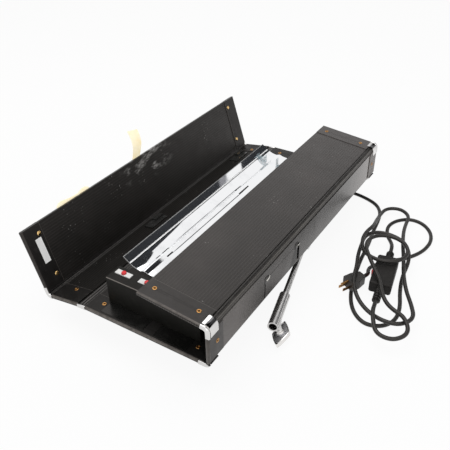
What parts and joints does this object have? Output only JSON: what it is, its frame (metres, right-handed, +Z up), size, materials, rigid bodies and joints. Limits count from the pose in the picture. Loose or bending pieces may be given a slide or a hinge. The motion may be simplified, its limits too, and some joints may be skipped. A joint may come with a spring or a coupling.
{
  "type": "folding fluorescent light fixture",
  "caption": "Fold-up fluorescent light: twin-wall shell with hinged walls and doors over a trough reflector, swivelling stand receiver, mains cord with in-line switch box.",
  "frame": {"origin": "middle of the ballast housing's base, on the surface it rests on", "axes": "+Z up; +Y along the light, from the lamp holder end to the far end; +X across the light, towards the side with the stand arm and cord"},
  "size_m": [0.7214, 0.775, 0.2311],
  "materials": {
    "shell": "satin black",
    "channel": "satin black",
    "fold": "matt black",
    "bright": "polished",
    "eyelet": "dull",
    "label": "matt white",
    "dark_plate": "matt black",
    "tape": "cream crepe",
    "mirror": "polished",
    "bracket": "mill",
    "holder": "white",
    "button": "red",
    "clear": "clear",
    "housing": "satin black",
    "potting": "matt grey",
    "wire": "matt",
    "rubber": "matt black",
    "steel": "bright",
    "knob": "dark grey",
    "box": "matt dark grey",
    "rocker": "white and red"
  },
  "bodies": {
    "root": {"back_panel": "shell", "back_end_channels": "channel", "back_eyelets": "eyelet", "back_plates": "dark_plate", "left_wall_fold": "fold", "left_wall_fold_clips": "bright", "right_wall_fold": "fold", "right_wall_fold_clips": "bright", "reflector": "mirror", "reflector_brackets": "bracket", "reflector_rivets": "label", "lamp_clips": "clear", "lamp_holder_block": "housing", "lamp_holders": "holder", "inner_wiring": "wire", "harness_grommet": "rubber", "ballast_housing": "housing", "ballasts": "potting", "terminal_block": "holder", "cord_gland": "box", "panel_screws": "steel", "mount_plate": "steel", "swivel_nut": "steel", "cord_lead": "rubber", "cord_tail": "rubber", "switch_box": "box", "switch_strain_reliefs": "rubber", "plug_body": "rubber", "plug_prongs": "eyelet"},
    "left_wall": {"left_wall_panel": "shell", "left_wall_end_channels": "channel", "left_wall_eyelets": "eyelet", "wall_catches": "channel", "left_door_fold": "fold", "left_door_fold_clips": "bright"},
    "left_door": {"left_door_panel": "shell", "left_door_end_channels": "channel", "left_door_eyelets": "eyelet", "door_label": "label", "door_tape": "tape"},
    "right_wall": {"right_wall_panel": "shell", "right_wall_end_channels": "channel", "right_wall_eyelets": "eyelet", "side_panel": "shell", "side_clips": "bright", "right_door_fold": "fold", "right_door_fold_clips": "bright"},
    "right_door": {"right_door_panel": "shell", "right_door_end_channels": "channel", "right_door_eyelets": "eyelet"},
    "mount_swivel": {"swivel_block": "steel", "tilt_pin": "steel"},
    "mount_arm": {"arm_rod": "bright", "receiver_tube": "bright"},
    "lock_knob": {"lock_knob": "knob"},
    "lamp_button_1": {"lamp_button_1": "button"},
    "lamp_button_2": {"lamp_button_2": "button"},
    "lamp_button_3": {"lamp_button_3": "button"},
    "lamp_button_4": {"lamp_button_4": "button"},
    "rocker": {"rocker_switch": "rocker"}
  },
  "joints": [
    {"name": "left_wall_fold_hinge", "type": "hinge", "parent": "root", "child": "left_wall", "pos_m": [-0.14663, 0, 0.06258], "axis": [0, 1, 0], "range_deg": [-5, 98.8], "deforming": ["left_wall_fold", "left_wall_fold_clips", "door_tape"]},
    {"name": "left_door_fold_hinge", "type": "hinge", "parent": "left_wall", "child": "left_door", "pos_m": [-0.2369, 0, 0.0486], "axis": [0, 1, 0], "range_deg": [-81.5, 8.5], "deforming": ["left_door_fold", "left_door_fold_clips", "door_tape"]},
    {"name": "right_wall_fold_hinge", "type": "hinge", "parent": "root", "child": "right_wall", "pos_m": [0.14663, 0, 0.06258], "axis": [0, 1, 0], "range_deg": [0, 90], "deforming": ["right_wall_fold", "right_wall_fold_clips"]},
    {"name": "right_door_fold_hinge", "type": "hinge", "parent": "right_wall", "child": "right_door", "pos_m": [0.14663, 0, 0.14763], "axis": [0, 1, 0], "range_deg": [-5.9, 84.1], "deforming": ["right_door_fold", "right_door_fold_clips"]},
    {"name": "mount_swivel_hinge", "type": "hinge", "parent": "root", "child": "mount_swivel", "pos_m": [0.115, 0.068, 0.044], "axis": [0, 0, 1], "range_deg": [-13, 18]},
    {"name": "arm_tilt_hinge", "type": "hinge", "parent": "mount_swivel", "child": "mount_arm", "pos_m": [0.12114, 0.04273, 0.044], "axis": [0.9718, 0.236, 0], "range_deg": [0, 100]},
    {"name": "lock_knob_turn", "type": "hinge", "parent": "mount_arm", "child": "lock_knob", "pos_m": [0.18261, -0.21041, 0.044], "axis": [0.3797, 0.0922, -0.9205], "continuous": true},
    {"name": "lamp_button_1_press", "type": "slide", "parent": "root", "child": "lamp_button_1", "axis": [0, 0, -1], "range_m": [0, 0.002], "stiffness_N_per_m": 600, "springref_m": -0.001},
    {"name": "lamp_button_2_press", "type": "slide", "parent": "root", "child": "lamp_button_2", "axis": [0, 0, -1], "range_m": [0, 0.002], "stiffness_N_per_m": 600, "springref_m": -0.001},
    {"name": "lamp_button_3_press", "type": "slide", "parent": "root", "child": "lamp_button_3", "axis": [0, 0, -1], "range_m": [0, 0.002], "stiffness_N_per_m": 600, "springref_m": -0.001},
    {"name": "lamp_button_4_press", "type": "slide", "parent": "root", "child": "lamp_button_4", "axis": [0, 0, -1], "range_m": [0, 0.002], "stiffness_N_per_m": 600, "springref_m": -0.001},
    {"name": "rocker_tilt", "type": "hinge", "parent": "root", "child": "rocker", "pos_m": [0.28613, 0.03574, 0.0235], "axis": [0, 0, 1], "range_deg": [-12, 0]}
  ]
}
